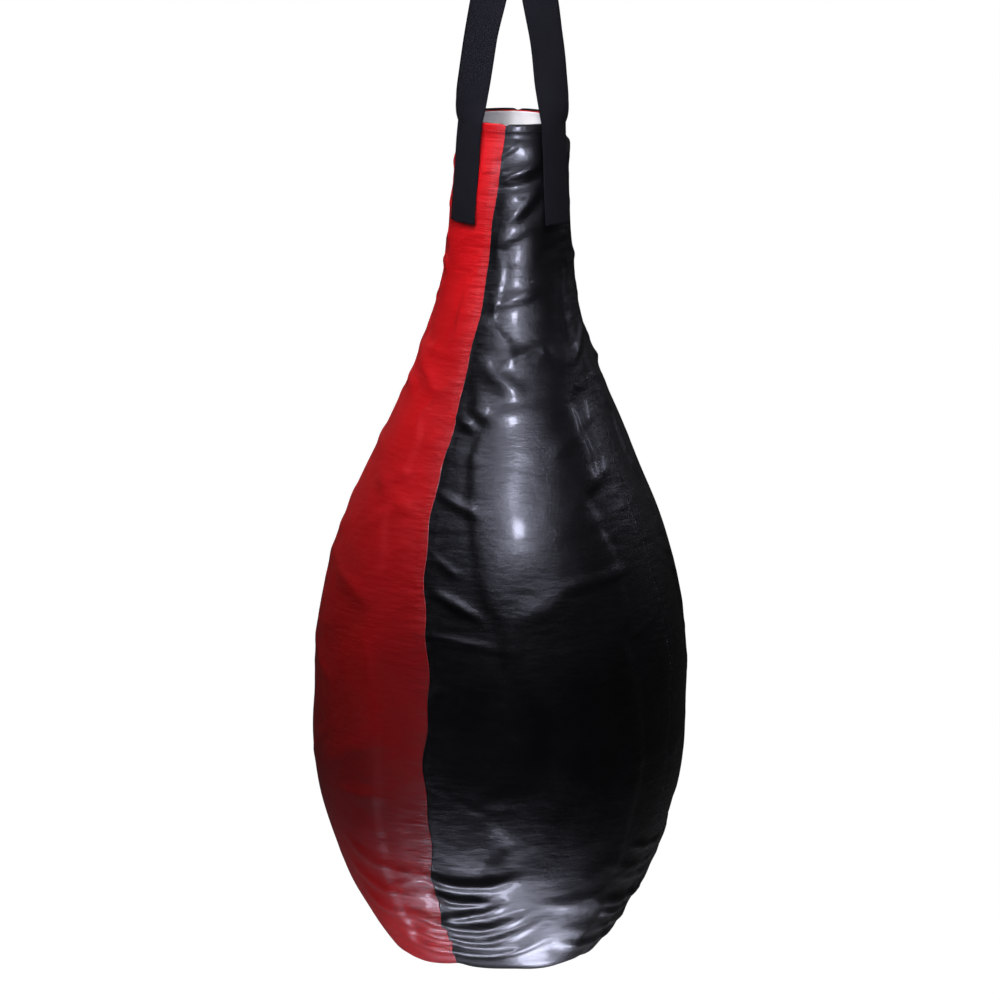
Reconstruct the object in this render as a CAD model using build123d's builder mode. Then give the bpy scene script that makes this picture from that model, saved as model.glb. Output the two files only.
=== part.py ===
from build123d import *
import os
from math import asin, cos, degrees, radians, sin, sqrt, tan

# Teardrop heavy punching bag on webbing straps, a D-ring and a bearing swivel.
# Millimetres and degrees. Origin at the centre of the swivel's hanging eye, +Z up,
# front at -Y. Azimuths are measured from the front (-Y) towards +X.

# ---------------------------------------------------------------- driving dimensions
# hanging eye and shank
eye_bore_r = 8.5
eye_outer_r = 20.0
eye_thickness = 14.0
eye_outer_round = 4.0
eye_bore_round = 2.0
collar_r = 9.0
collar_drop = 5.0
shank_r = 6.0
shank_tail = 1.5

# swivel housing and thrust bearing
housing_drop = 28.0
housing_r = 22.0
housing_top_wall = 6.0
housing_depth = 22.0
housing_round = 3.0
pocket_gap = 0.7
seal_t = 1.8
seal_r = 12.0
race_r = 14.5
race_bore_gap = 0.5
race_t = 3.0
race_space = 3.0
ball_r = 2.0
ball_count = 10
ball_pitch_r = 10.3
ball_gap = 0.1
cage_t = 1.2
cage_rim = 0.4
nut_across = 18.0
nut_h = 7.5
pin_r = 1.2
pin_tail = 2.0

# jaw and cross bolt
jaw_half_gap = 13.0
jaw_leg_t = 6.0
jaw_leg_half_width = 10.5
bolt_r = 5.0
bolt_drop = 47.0
bolt_head_across = 16.0
bolt_head_h = 6.4
bolt_nut_h = 8.0
bolt_tail = 2.0
bolt_head_chamfer = 1.0
bolt_tip_chamfer = 0.8
washer_r = 10.0
washer_t = 2.0
spacer_r = 8.0

# D-ring
ring_wire_r = 4.0
ring_side_room = 9.0
ring_side = 2.1
ring_corner_r = 6.0

# webbing straps
webbing_w = 44.0
webbing_t = 2.2
strap_drop = 290.0
strap_sewn = 124.0
strap_azimuth = 50.0
strap_free_twist = 24.0
webbing_crown = 0.05

# how a strap's free leg curves, as shares of its fall from the bar to the rim
strap_spread_power = 1.5
strap_twist_start = 0.36
strap_twist_run = 0.3
strap_wrap_power = 14
strap_nest_start = 0.42
strap_nest_run = 0.4
strap_curve_power = 6

# bag outline: headings from straight down, outwards positive
neck_r = 64.0
neck_length = 130.0
neck_heading = 3.8
flare_r = 638.0
slope_length = 130.0
slope_heading = 24.0
shoulder_r = 600.0
belly_length = 50.0
lower_r = 430.0
lower_length = 36.0
lower_heading = -37.0
corner_r = 22.0

# bag layers
skin_t = 1.5
tape_t = 1.0
tape_w = 20.0
patch_t = 1.5
patch_margin = 4.0
lining_t = 1.0
foam_t = 12.0
inner_bag_t = 0.9
facing_depth = 12.0
patch_start = 14.0
neck_end_margin = 3.0
flap_depth = 70.0
flap_t = 1.2
bottom_tape_w = 12.0
seam_azimuth = -24.0

# clearances
fit = 0.08
layer_gap = 0.3
loose = 0.3
strap_seat = 0.5
seam_gap = 0.1

# ---------------------------------------------------------------- sizes that follow others
pocket_r = race_r + pocket_gap
cage_inner_r = ball_pitch_r - ball_r - ball_gap - cage_rim
cage_outer_r = ball_pitch_r + ball_r + ball_gap + cage_rim
pin_half_length = nut_across / 2 + pin_tail
ring_arch_r = webbing_w / 2 + ring_side_room
patch_w = webbing_w + 2 * patch_margin

# ---------------------------------------------------------------- heights
housing_top = -housing_drop
ceiling = housing_top - housing_top_wall
housing_bottom = housing_top - housing_depth
ball_z = ceiling - race_t - race_space / 2
lower_race_top = ball_z - race_space / 2
nut_top = lower_race_top - race_t
shank_end = nut_top - nut_h - shank_tail
bolt_z = housing_top - bolt_drop
arch_z = bolt_z + bolt_r + loose + ring_wire_r - ring_arch_r
bar_z = arch_z - ring_side - ring_corner_r
rim_z = bar_z - strap_drop

# ---------------------------------------------------------------- layers, from the outside in
tape_inset = skin_t + layer_gap
patch_inset = tape_inset + tape_t + layer_gap
lining_inset = patch_inset + patch_t + layer_gap
foam_inset = tape_inset + tape_t + layer_gap
inner_bag_inset = foam_inset + foam_t + layer_gap
filling_inset = inner_bag_inset + inner_bag_t + layer_gap
neck_end = neck_length - neck_end_margin

WALL = (
    ("arc", flare_r, slope_heading),
    ("line", slope_length, slope_heading),
    ("arc", shoulder_r, 0.0),
    ("line", belly_length, 0.0),
    ("arc", lower_r, lower_heading),
    ("line", lower_length, lower_heading),
    ("arc", corner_r, -90.0),
)


def direction(heading):
    """Unit step in (radius, height) for a heading from straight down."""
    return Vector(sin(radians(heading)), -cos(radians(heading)))


def neck_point(distance, inset):
    """Point in (radius, height), a distance down the neck and an inset into its wall."""
    down = direction(neck_heading)
    into = Vector(down.Y, -down.X)
    return Vector(neck_r, rim_z) + down * distance + into * inset


def draw_wall(inset, start):
    """Draws the bag's outline at an inset, from a distance down the neck to the bottom."""
    first = neck_point(start, inset)
    point = neck_point(neck_length, inset)
    heading = neck_heading
    if start < neck_length:
        Line(first, point)
    for kind, size, to in WALL:
        if kind == "line":
            run = Line(point, point + direction(heading) * size)
        else:
            radius = size + inset if to > heading else size - inset
            run = JernArc(point, direction(heading), radius, to - heading)
            heading = to
        point = run @ 1
    return first, point


def draw_shell(outer_inset, inner_inset, start):
    """Draws the closed outline of a layer that stops at the edge of the flat bottom."""
    outer_first, outer_last = draw_wall(outer_inset, start)
    inner_first, inner_last = draw_wall(inner_inset, start)
    Line(outer_first, inner_first)
    Line(outer_last, inner_last)


def draw_pouch(outer_inset, inner_inset, start):
    """Draws the closed outline of a layer that also covers the flat bottom."""
    outer_first, outer_last = draw_wall(outer_inset, start)
    inner_first, inner_last = draw_wall(inner_inset, start)
    Line(outer_first, inner_first)
    Polyline(outer_last, (0, outer_last.Y), (0, inner_last.Y), inner_last)


def draw_neck_band(outer_inset, inner_inset, start, end):
    """Draws the closed outline of a band on the neck's wall."""
    Polyline(
        neck_point(start, outer_inset),
        neck_point(end, outer_inset),
        neck_point(end, inner_inset),
        neck_point(start, inner_inset),
        close=True,
    )


def upright_plane(azimuth):
    """Plane through the upright axis: local x points out at the azimuth, local y up."""
    turn = radians(azimuth - 90)
    return Plane(
        origin=(0, 0, 0),
        x_dir=(cos(turn), sin(turn), 0),
        z_dir=(sin(turn), -cos(turn), 0),
    )


def smooth(t):
    """Smooth step from 0 to 1."""
    t = min(max(t, 0.0), 1.0)
    return t * t * (3 - 2 * t)


def wall_end():
    """Point where the outer outline meets the flat bottom."""
    with BuildLine():
        last = draw_wall(0, 0)[1]
    return last


bottom_edge = wall_end()
os.makedirs("parts", exist_ok=True)


def save(part, name):
    """Labels a finished piece and writes it."""
    part.label = name
    export_step(part, f"parts/{name}.step")


# ================================================================ swivel
with BuildPart() as swivel_eye:
    with BuildSketch(Plane.XZ):
        Circle(eye_outer_r)
    extrude(amount=eye_thickness / 2, both=True)
    fillet(swivel_eye.edges().filter_by(GeomType.CIRCLE), eye_outer_round)
    with BuildSketch(Plane.XZ):
        Circle(eye_bore_r)
    extrude(amount=eye_thickness / 2, both=True, mode=Mode.SUBTRACT)
    bore_edges = swivel_eye.edges().filter_by(GeomType.CIRCLE)
    fillet(bore_edges.filter_by(lambda e: e.radius < eye_bore_r + layer_gap), eye_bore_round)
    with BuildSketch(Plane.XZ):
        with BuildLine():
            Polyline(
                (0, -eye_bore_r - eye_bore_round),
                (shank_r, -eye_bore_r - eye_bore_round),
                (collar_r, -eye_outer_r + eye_outer_round),
                (collar_r, -eye_outer_r - collar_drop),
                (shank_r, -eye_outer_r - collar_drop),
                (shank_r, shank_end),
                (0, shank_end),
                close=True,
            )
        make_face()
    revolve(axis=Axis.Z)
    with BuildSketch(Plane.YZ.offset(-shank_r)):
        with Locations((0, nut_top - nut_h / 2)):
            Circle(pin_r + fit)
    extrude(amount=2 * shank_r, mode=Mode.SUBTRACT)
save(swivel_eye.part, "swivel_eye")

with BuildPart() as swivel_housing:
    with BuildSketch(Plane.XY.offset(housing_top)):
        Circle(housing_r)
    extrude(amount=-housing_depth)
    fillet(swivel_housing.edges().group_by(Axis.Z)[-1], housing_round)
    with BuildSketch(Plane.XZ):
        with Locations((0, (housing_bottom + bolt_z) / 2)):
            Rectangle(2 * jaw_leg_half_width, housing_bottom - bolt_z)
        with Locations((0, bolt_z)):
            Circle(jaw_leg_half_width)
    extrude(amount=jaw_half_gap + jaw_leg_t, both=True)
    with BuildSketch(Plane.XY.offset(housing_bottom)):
        Rectangle(3 * housing_r, 2 * jaw_half_gap)
    extrude(amount=-bolt_drop, mode=Mode.SUBTRACT)
    with BuildSketch(Plane.XY.offset(ceiling)):
        Circle(pocket_r)
    extrude(amount=housing_bottom - ceiling, mode=Mode.SUBTRACT)
    with BuildSketch(Plane.XY.offset(housing_top)):
        Circle(shank_r + fit)
    extrude(amount=-housing_top_wall, mode=Mode.SUBTRACT)
    with BuildSketch(Plane.XZ):
        with Locations((0, bolt_z)):
            Circle(bolt_r + fit)
    extrude(amount=2 * housing_r, both=True, mode=Mode.SUBTRACT)
save(swivel_housing.part, "swivel_housing")

with BuildPart() as dust_seal:
    with BuildSketch(Plane.XY.offset(housing_top)):
        Circle(seal_r)
        Circle(shank_r + fit, mode=Mode.SUBTRACT)
    extrude(amount=seal_t)
    fillet(dust_seal.edges().group_by(Axis.Z)[-1].sort_by(SortBy.LENGTH)[-1], seal_t / 2)
save(dust_seal.part, "dust_seal")


def draw_ball_track():
    """Sketches the section of the ball track, which the races are cut with."""
    with Locations((ball_pitch_r, ball_z)):
        Circle(ball_r + ball_gap)


with BuildPart() as bearing_race_upper:
    with BuildSketch(Plane.XY.offset(ceiling)):
        Circle(race_r)
        Circle(shank_r + race_bore_gap, mode=Mode.SUBTRACT)
    extrude(amount=-race_t)
    with BuildSketch(Plane.XZ):
        draw_ball_track()
    revolve(axis=Axis.Z, mode=Mode.SUBTRACT)
save(bearing_race_upper.part, "bearing_race_upper")

with BuildPart() as bearing_race_lower:
    with BuildSketch(Plane.XY.offset(lower_race_top)):
        Circle(race_r)
        Circle(shank_r + fit, mode=Mode.SUBTRACT)
    extrude(amount=-race_t)
    with BuildSketch(Plane.XZ):
        draw_ball_track()
    revolve(axis=Axis.Z, mode=Mode.SUBTRACT)
save(bearing_race_lower.part, "bearing_race_lower")

with BuildPart() as bearing_balls:
    with Locations(Plane.XY.offset(ball_z)):
        with PolarLocations(ball_pitch_r, ball_count):
            Sphere(ball_r)
save(bearing_balls.part, "bearing_balls")

with BuildPart() as bearing_cage:
    with BuildSketch(Plane.XY.offset(ball_z - cage_t / 2)):
        Circle(cage_outer_r)
        Circle(cage_inner_r, mode=Mode.SUBTRACT)
        with PolarLocations(ball_pitch_r, ball_count):
            Circle(ball_r + ball_gap, mode=Mode.SUBTRACT)
    extrude(amount=cage_t)
save(bearing_cage.part, "bearing_cage")

with BuildPart() as shank_nut:
    with BuildSketch(Plane.XY.offset(nut_top)):
        RegularPolygon(nut_across / 2, 6, major_radius=False)
        Circle(shank_r + fit, mode=Mode.SUBTRACT)
    extrude(amount=-nut_h)
    with BuildSketch(Plane.YZ.offset(-nut_across)):
        with Locations((0, nut_top - nut_h / 2)):
            Circle(pin_r + fit)
    extrude(amount=2 * nut_across, mode=Mode.SUBTRACT)
save(shank_nut.part, "shank_nut")

with BuildPart() as shank_pin:
    with BuildSketch(Plane.YZ.offset(-pin_half_length)):
        with Locations((0, nut_top - nut_h / 2)):
            Circle(pin_r)
    extrude(amount=2 * pin_half_length)
save(shank_pin.part, "shank_pin")

# ================================================================ jaw bolt
jaw_face = jaw_half_gap + jaw_leg_t
head_face = jaw_face + washer_t
bolt_end = head_face + bolt_nut_h + bolt_tail

with BuildPart() as jaw_bolt:
    with BuildSketch(Plane.XZ.offset(head_face)):
        with Locations((0, bolt_z)):
            RegularPolygon(bolt_head_across / 2, 6, major_radius=False)
    extrude(amount=bolt_head_h)
    chamfer(jaw_bolt.edges().group_by(Axis.Y)[0], bolt_head_chamfer)
    with BuildSketch(Plane.XZ.offset(head_face)):
        with Locations((0, bolt_z)):
            Circle(bolt_r)
    extrude(amount=-head_face - bolt_end)
    chamfer(jaw_bolt.edges().group_by(Axis.Y)[-1], bolt_tip_chamfer)
save(jaw_bolt.part, "jaw_bolt")

with BuildPart() as jaw_nut:
    with BuildSketch(Plane.XZ.offset(-head_face)):
        with Locations((0, bolt_z)):
            RegularPolygon(bolt_head_across / 2, 6, major_radius=False)
            Circle(bolt_r + fit, mode=Mode.SUBTRACT)
    extrude(amount=-bolt_nut_h)
save(jaw_nut.part, "jaw_nut")

with BuildPart() as jaw_washers:
    for face in (jaw_face, -head_face):
        with BuildSketch(Plane.XZ.offset(face)):
            with Locations((0, bolt_z)):
                Circle(washer_r)
                Circle(bolt_r + fit, mode=Mode.SUBTRACT)
        extrude(amount=washer_t)
save(jaw_washers.part, "jaw_washers")

with BuildPart() as bolt_spacers:
    spacer_length = jaw_half_gap - ring_wire_r - 2 * loose
    for start in (ring_wire_r + loose, -ring_wire_r - loose - spacer_length):
        with BuildSketch(Plane.XZ.offset(start)):
            with Locations((0, bolt_z)):
                Circle(spacer_r)
                Circle(bolt_r + fit, mode=Mode.SUBTRACT)
        extrude(amount=spacer_length)
save(bolt_spacers.part, "bolt_spacers")

# ================================================================ D-ring
with BuildPart() as d_ring:
    with BuildLine(Plane.XZ):
        CenterArc((0, arch_z), ring_arch_r, 0, 180)
        Line((-ring_arch_r, arch_z), (-ring_arch_r, arch_z - ring_side))
        JernArc((-ring_arch_r, arch_z - ring_side), (0, -1), ring_corner_r, 90)
        Line((-ring_arch_r + ring_corner_r, bar_z), (ring_arch_r - ring_corner_r, bar_z))
        JernArc((ring_arch_r - ring_corner_r, bar_z), (1, 0), ring_corner_r, 90)
        Line((ring_arch_r, arch_z - ring_side), (ring_arch_r, arch_z))
    with BuildSketch(Plane.YZ):
        with Locations((0, arch_z + ring_arch_r)):
            Circle(ring_wire_r)
    sweep()
save(d_ring.part, "d_ring")


# ================================================================ webbing straps
# Each strap goes up one side of the mouth, over the D-ring's bar and down the opposite side.
# The two straps cross on the bar, the outer one over the inner one.
STATIONS = (0.08, 0.16, 0.24, 0.32, 0.4, 0.48, 0.56, 0.64, 0.72, 0.8, 0.86, 0.91, 0.95, 0.98, 1.0)
ACROSS = (-1.0, -0.5, 0.0, 0.5, 1.0)
loop_r = ring_wire_r + loose
layer_step = webbing_t + loose + fit


def webbing_section(side, lift, z):
    """Outline of the webbing at a height, for a front leg that leads to a side of the neck."""
    fall = min((bar_z - z) / strap_drop, 1.0)
    spread = 1 - (1 - fall) ** strap_spread_power
    twist = strap_free_twist * smooth((fall - strap_twist_start) / strap_twist_run)
    twist = radians(twist + (strap_azimuth - strap_free_twist) * fall**strap_wrap_power)
    seat = neck_r + max(rim_z - z, 0) * tan(radians(neck_heading)) + strap_seat
    x = side * spread * seat * sin(radians(strap_azimuth))
    y = spread * (seat * cos(radians(strap_azimuth)) - loop_r) + loop_r
    y = -y - lift * (1 - smooth((fall - strap_nest_start) / strap_nest_run))
    out = Vector(side * sin(twist), -cos(twist))
    along = Vector(cos(twist), side * sin(twist))
    bend = max(fall**strap_curve_power, webbing_crown) / seat
    inner = []
    for share in ACROSS:
        reach = share * webbing_w / 2
        drop = (1 - sqrt(1 - (bend * reach) ** 2)) / bend
        inner.append(Vector(x, y) + along * reach - out * drop)
    outer = [point + out * webbing_t for point in reversed(inner)]
    return inner + outer


def build_strap(side, lift):
    """Builds one strap in the open part builder: the loop over the bar and both legs."""
    near = loop_r + lift
    with BuildSketch(Plane.XY.offset(bar_z)) as loop_start:
        with Locations((0, -near - webbing_t / 2)):
            Rectangle(webbing_w, webbing_t)
    revolve(loop_start.sketch, Axis((0, 0, bar_z), (-1, 0, 0)), 180)
    heights = [bar_z] + [bar_z - station * strap_drop for station in STATIONS]
    for turn in (0, 180):
        around = (cos(radians(turn)), sin(radians(turn)), 0)
        sections = []
        for z in heights + [rim_z - strap_sewn]:
            with BuildSketch(Plane(origin=(0, 0, z), x_dir=around)) as section:
                Polygon(*webbing_section(side, lift, z), align=None)
            sections.append(section.sketch.face())
        loft(sections, ruled=True)


with BuildPart() as strap_inner:
    build_strap(-1, 0.0)
save(strap_inner.part, "strap_inner")

with BuildPart() as strap_outer:
    build_strap(1, layer_step)
save(strap_outer.part, "strap_outer")

# ================================================================ cover
COVER_PANELS = ("panel_front", "panel_right", "panel_back", "panel_left")
for number, panel_name in enumerate(COVER_PANELS):
    with BuildPart() as cover_panel:
        with BuildSketch(upright_plane(seam_azimuth + 90 * number + seam_gap / 2)):
            with BuildLine():
                draw_shell(0, skin_t, 0)
            make_face()
        revolve(axis=Axis.Z, revolution_arc=90 - seam_gap)
    save(cover_panel.part, panel_name)

with BuildPart() as bottom_panel:
    with BuildSketch(Plane.XY.offset(bottom_edge.Y)):
        Circle(bottom_edge.X - layer_gap)
    extrude(amount=skin_t)
save(bottom_panel.part, "bottom_panel")

with BuildPart() as bottom_seam_tape:
    with BuildSketch(Plane.XY.offset(bottom_edge.Y + tape_inset)):
        Circle(bottom_edge.X)
        Circle(bottom_edge.X - bottom_tape_w, mode=Mode.SUBTRACT)
    extrude(amount=tape_t)
save(bottom_seam_tape.part, "bottom_seam_tape")

with BuildPart() as bottom_reinforcement:
    with BuildSketch(Plane.XY.offset(bottom_edge.Y + tape_inset)):
        Circle(bottom_edge.X - bottom_tape_w - layer_gap)
    extrude(amount=tape_t)
save(bottom_reinforcement.part, "bottom_reinforcement")

tape_reach = 2 * (neck_r + slope_length + shoulder_r)
with BuildPart() as seam_tapes:
    with BuildSketch(Plane.XZ):
        with BuildLine():
            draw_shell(tape_inset, tape_inset + tape_t, facing_depth + layer_gap)
        make_face()
    revolve(axis=Axis.Z)
    with BuildSketch(Plane.XY.offset(bottom_edge.Y + tape_inset + tape_t)):
        for turn in (seam_azimuth, seam_azimuth + 90):
            Rectangle(tape_reach, tape_w, rotation=turn)
    extrude(amount=rim_z - bottom_edge.Y, mode=Mode.INTERSECT)
save(seam_tapes.part, "seam_tapes")

# ================================================================ neck
with BuildPart() as rim_facing:
    with BuildSketch(Plane.XZ):
        with BuildLine():
            draw_neck_band(tape_inset, tape_inset + tape_t, 0, facing_depth)
        make_face()
    revolve(axis=Axis.Z)
save(rim_facing.part, "rim_facing")

with BuildPart() as strap_patches:
    patch_turn = 2 * degrees(asin(patch_w / 2 / neck_r))
    for side in (-strap_azimuth, strap_azimuth, 180 - strap_azimuth, 180 + strap_azimuth):
        with BuildSketch(upright_plane(side - patch_turn / 2)):
            with BuildLine():
                draw_neck_band(patch_inset, patch_inset + patch_t, patch_start, neck_end)
            make_face()
        revolve(axis=Axis.Z, revolution_arc=patch_turn)
save(strap_patches.part, "strap_patches")

with BuildPart() as neck_lining:
    with BuildSketch(Plane.XZ):
        with BuildLine():
            draw_neck_band(lining_inset, lining_inset + lining_t, layer_gap, neck_end)
        make_face()
    revolve(axis=Axis.Z)
save(neck_lining.part, "neck_lining")

flap_edge = neck_point(flap_depth, lining_inset + lining_t)
with BuildPart() as closing_flap:
    with BuildSketch(Plane.XY.offset(flap_edge.Y - flap_t)):
        Circle(flap_edge.X - layer_gap)
    extrude(amount=flap_t)
save(closing_flap.part, "closing_flap")

# ================================================================ padding and filling
with BuildPart() as foam_layer:
    with BuildSketch(Plane.XZ):
        with BuildLine():
            draw_pouch(foam_inset, foam_inset + foam_t, neck_length)
        make_face()
    revolve(axis=Axis.Z)
save(foam_layer.part, "foam_layer")

with BuildPart() as inner_bag:
    with BuildSketch(Plane.XZ):
        with BuildLine():
            draw_pouch(inner_bag_inset, inner_bag_inset + inner_bag_t, neck_length)
        make_face()
    revolve(axis=Axis.Z)
save(inner_bag.part, "inner_bag")

filling_top = flap_edge.Y - flap_t - layer_gap
with BuildPart() as filling:
    with BuildSketch(Plane.XZ):
        with BuildLine():
            shoulder, bottom = draw_wall(filling_inset, neck_length)
            Polyline(bottom, (0, bottom.Y), (0, filling_top), (shoulder.X, filling_top), shoulder)
        make_face()
    revolve(axis=Axis.Z)
save(filling.part, "filling")
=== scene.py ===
"""Looks of a teardrop heavy punching bag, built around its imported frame."""

import logging
import math
import random
from dataclasses import dataclass, field
from enum import Enum

import bpy
import numpy as np
from mathutils import Matrix, Vector


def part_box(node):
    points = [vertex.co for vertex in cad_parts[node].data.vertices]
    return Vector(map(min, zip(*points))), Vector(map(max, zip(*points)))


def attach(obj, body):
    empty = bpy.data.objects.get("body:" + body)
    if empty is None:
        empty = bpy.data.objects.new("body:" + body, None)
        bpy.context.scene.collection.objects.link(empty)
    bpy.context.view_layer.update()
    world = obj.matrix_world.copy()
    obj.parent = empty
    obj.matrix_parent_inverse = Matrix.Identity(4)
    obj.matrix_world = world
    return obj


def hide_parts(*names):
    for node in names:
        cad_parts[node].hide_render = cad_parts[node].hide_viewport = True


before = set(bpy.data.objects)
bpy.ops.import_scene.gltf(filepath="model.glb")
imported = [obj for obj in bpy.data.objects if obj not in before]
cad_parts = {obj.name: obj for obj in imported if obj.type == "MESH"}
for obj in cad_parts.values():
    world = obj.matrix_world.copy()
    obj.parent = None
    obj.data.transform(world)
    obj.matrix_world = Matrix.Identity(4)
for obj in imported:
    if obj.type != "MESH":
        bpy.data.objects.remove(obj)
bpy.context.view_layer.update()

MM = 0.001
PANEL_COUNT = 4
RED_PANEL = 3
PANEL_ANGLE = math.radians(360 / PANEL_COUNT)
POLE_HOLE = 0.02
POLE_REACH = 0.03
LOG = logging.getLogger("punching_bag")


class Body(Enum):
    """The body that the new pieces ride on; the hardware above it keeps its own."""

    BAG = "bag"


class Slot(Enum):
    """The record's material slots, one named with each new piece's finish."""

    BLACK = "black_leatherette"
    RED = "red_leatherette"
    WEBBING = "webbing"
    LINING = "white_lining"


# ---------------------------------------------------------------- small modelling helpers
def deselect() -> None:
    """Leaves nothing selected and nothing in edit mode."""
    if bpy.context.object and bpy.context.object.mode != "OBJECT":
        bpy.ops.object.mode_set(mode="OBJECT")
    bpy.ops.object.select_all(action="DESELECT")


def select_only(piece: bpy.types.Object) -> None:
    """Selects one object and makes it active."""
    deselect()
    piece.select_set(True)
    bpy.context.view_layer.objects.active = piece


def apply_modifier(piece: bpy.types.Object, kind: str, **settings: object) -> None:
    """Adds a modifier with its settings and applies it.

    Args:
        piece: The object that it is added to.
        kind: Blender's name for the modifier's type.
        settings: Values for the modifier.
    """
    select_only(piece)
    modifier = piece.modifiers.new(kind.title(), kind)
    for key, value in settings.items():
        setattr(modifier, key, value)
    bpy.ops.object.modifier_apply(modifier=modifier.name)


def smooth_step(t: np.ndarray) -> np.ndarray:
    """Smooth step from 0 to 1, where t goes from 0 to 1."""
    t = np.clip(t, 0.0, 1.0)
    return t * t * (3 - 2 * t)


def grid_piece(name: str, columns: int, rows: int) -> tuple[bpy.types.Object, np.ndarray, np.ndarray]:
    """Adds a flat grid whose corners are then moved onto a surface.

    Args:
        name: Name of the new piece.
        columns: Faces across.
        rows: Faces from top to bottom.

    Returns:
        The object, and each vertex's share across and share down, from 0 to 1.
    """
    deselect()
    bpy.ops.mesh.primitive_grid_add(x_subdivisions=columns, y_subdivisions=rows, size=2)
    piece = bpy.context.object
    piece.name = name
    flat = read_points(piece)
    return piece, (flat[:, 0] + 1) / 2, (1 - flat[:, 1]) / 2


def read_points(piece: bpy.types.Object) -> np.ndarray:
    """The piece's vertices as an array."""
    points = np.zeros(len(piece.data.vertices) * 3)
    piece.data.vertices.foreach_get("co", points)
    return points.reshape(-1, 3)


def write_points(piece: bpy.types.Object, points: np.ndarray) -> None:
    """Moves the piece's vertices to new places."""
    piece.data.vertices.foreach_set("co", np.ascontiguousarray(points, float).ravel())
    piece.data.update()


def merge_doubles(piece: bpy.types.Object, distance: float, flip: bool = False) -> None:
    """Joins the edges of a wrapped grid and turns its faces the right way.

    Args:
        piece: The wrapped grid.
        distance: Vertices nearer than this become one.
        flip: Turn all faces over, instead of working out which way is out.
    """
    select_only(piece)
    bpy.ops.object.mode_set(mode="EDIT")
    bpy.ops.mesh.select_all(action="SELECT")
    bpy.ops.mesh.remove_doubles(threshold=distance)
    if flip:
        bpy.ops.mesh.flip_normals()
    else:
        bpy.ops.mesh.normals_make_consistent(inside=False)
    bpy.ops.object.mode_set(mode="OBJECT")


def close_disc(piece: bpy.types.Object, distance: float, rim: float, up: int) -> None:
    """Joins a wrapped disc's edges, closes the hole at its pole and turns it up or down.

    Args:
        piece: The wrapped grid, with a small hole at its pole.
        distance: Vertices nearer than this become one.
        rim: The disc's radius.
        up: 1 where its faces look up, -1 where they look down.
    """
    select_only(piece)
    bpy.ops.object.mode_set(mode="EDIT")
    bpy.ops.mesh.select_all(action="SELECT")
    bpy.ops.mesh.remove_doubles(threshold=distance)
    bpy.ops.mesh.select_all(action="DESELECT")
    bpy.ops.object.mode_set(mode="OBJECT")
    for vertex in piece.data.vertices:
        vertex.select = math.hypot(vertex.co.x, vertex.co.y) < rim * POLE_REACH
    bpy.ops.object.mode_set(mode="EDIT")
    bpy.ops.mesh.select_mode(type="VERT")
    bpy.ops.mesh.edge_face_add()
    bpy.ops.mesh.select_all(action="SELECT")
    bpy.ops.mesh.normals_make_consistent(inside=False)
    bpy.ops.object.mode_set(mode="OBJECT")
    if piece.data.polygons[0].normal.z * up < 0:
        piece.data.flip_normals()


def write_uv(piece: bpy.types.Object, u: np.ndarray, v: np.ndarray) -> None:
    """Gives the piece a UV map in metres from two values for each vertex.

    Args:
        piece: The mesh object.
        u: First value for each vertex.
        v: Second value for each vertex.
    """
    layer = piece.data.uv_layers.active or piece.data.uv_layers.new(name="UVMap")
    corner = np.zeros(len(piece.data.loops), int)
    piece.data.loops.foreach_get("vertex_index", corner)
    layer.data.foreach_set("uv", np.stack([u[corner], v[corner]], 1).ravel())


def write_attribute(piece: bpy.types.Object, name: str, values: np.ndarray) -> None:
    """Stores one number for each vertex, for a material to read."""
    layer = piece.data.attributes.new(name, "FLOAT", "POINT")
    layer.data.foreach_set("value", np.ascontiguousarray(values, np.float32))


def finish_piece(
    piece: bpy.types.Object,
    material: bpy.types.Material,
    body: Body,
    slot: Slot,
    *stands_for: str,
) -> None:
    """Dresses a piece, says what carries it and what it stands for.

    Args:
        piece: The finished mesh object.
        material: Its finish.
        body: The body that it rides on.
        slot: The record's slot for its finish; not used.
        stands_for: CAD nodes that it replaces.
    """
    piece.data.materials.clear()
    piece.data.materials.append(material)
    select_only(piece)
    bpy.ops.object.shade_smooth()
    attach(piece, body.value)
    if stands_for:
        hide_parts(*stands_for)
    LOG.info("%s: %d faces on %s", piece.name, len(piece.data.polygons), body.value)


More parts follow.
